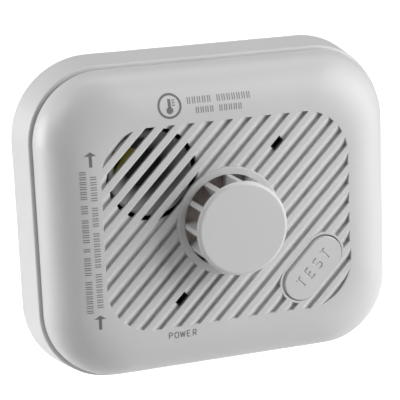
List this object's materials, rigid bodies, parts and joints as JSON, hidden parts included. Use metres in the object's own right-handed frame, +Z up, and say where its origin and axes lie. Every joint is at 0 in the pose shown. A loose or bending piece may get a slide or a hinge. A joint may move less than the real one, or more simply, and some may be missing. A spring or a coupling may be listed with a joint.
{
  "type": "heat alarm",
  "caption": "Wall or ceiling heat alarm: a pillow-shaped head with a ribbed front, sensor cage, horn and test button, on a slide-on mounting base.",
  "frame": {"origin": "centre of the mounting base's back face, on the wall plane", "axes": "+X right seen from the front, +Z up, +Y into the wall; the front faces -Y"},
  "size_m": [0.1454, 0.0483, 0.1234],
  "materials": {
    "white_cover": "fine satin off-white moulding",
    "white_guard": "satin off-white moulding",
    "white_base": "satin off-white moulding",
    "white_button": "satin off-white moulding with raised letters",
    "horn_plastic": "matt off-white moulding",
    "grey_case": "matt dark grey moulding",
    "black_plastic": "matt black",
    "cream_block": "matt cream moulding",
    "brown_board": "brown phenolic board",
    "brass": "bright sheet brass",
    "steel": "zinc-plated steel",
    "red_lens": "clear red lens",
    "green_lens": "clear green lens",
    "capacitor_sleeve": "printed sleeve",
    "yellow_resin": "yellow resin box",
    "thermistor_glass": "dipped bead",
    "battery_jacket": "dark printed metal jacket"
  },
  "bodies": {
    "base": {"mounting_base": "white_base", "terminal_block": "cream_block", "terminal_screw_1": "steel", "terminal_screw_2": "steel", "terminal_screw_3": "steel", "terminal_screw_4": "steel", "socket_clip_live": "brass", "socket_clip_neutral": "brass", "socket_clip_link": "brass", "terminal_cover": "grey_case", "terminal_cover_screw": "steel", "cable_clamp": "grey_case", "cable_clamp_screw_1": "steel", "cable_clamp_screw_2": "steel", "clip_pin": "steel"},
    "head": {"front_cover": "white_cover", "sensor_guard": "white_guard", "rear_case": "grey_case", "case_screw_1": "steel", "case_screw_2": "steel", "case_screw_3": "steel", "case_screw_4": "steel", "contact_carrier": "cream_block", "contact_blade_live": "brass", "contact_blade_neutral": "brass", "contact_blade_link": "brass", "horn_housing": "horn_plastic", "piezo_disc": "brass", "horn_back_cap": "grey_case", "horn_contact_leaf": "brass", "horn_gauze": "black_plastic", "horn_leaf_card": "black_plastic", "circuit_board": "brown_board", "sensor_board": "brown_board", "test_switch": "black_plastic", "processor_chip": "black_plastic", "mains_capacitor": "yellow_resin", "smoothing_capacitor_1": "capacitor_sleeve", "smoothing_capacitor_2": "capacitor_sleeve", "surge_varistor": "capacitor_sleeve", "alarm_led": "red_lens", "power_led": "green_lens", "alarm_led_shroud": "black_plastic", "power_led_shroud": "black_plastic", "thermistor_holder": "black_plastic", "thermistor_bead": "thermistor_glass", "thermistor_lead_1": "steel", "thermistor_lead_2": "steel", "battery": "battery_jacket", "battery_stud_positive": "steel", "battery_stud_negative": "steel", "battery_contact_positive": "brass", "battery_contact_negative": "brass", "button_spring": "steel"},
    "button": {"test_button": "white_button"},
    "clip": {"release_clip": "white_base"}
  },
  "joints": [
    {"name": "head_slide", "type": "slide", "parent": "base", "child": "head", "axis": [0, 0, 1], "range_m": [0, 0.02]},
    {"name": "test_button_press", "type": "slide", "parent": "head", "child": "button", "axis": [0, 1, 0], "range_m": [0, 0.0015], "stiffness_N_per_m": 900, "springref_m": -0.0015, "deforming": ["button_spring"]},
    {"name": "release_clip_hinge", "type": "hinge", "parent": "base", "child": "clip", "pos_m": [0, -0.008, -0.05], "axis": [-1, 0, 0], "range_deg": [0, 8], "stiffness_Nm_per_rad": 0.05, "springref_deg": -5.73}
  ]
}
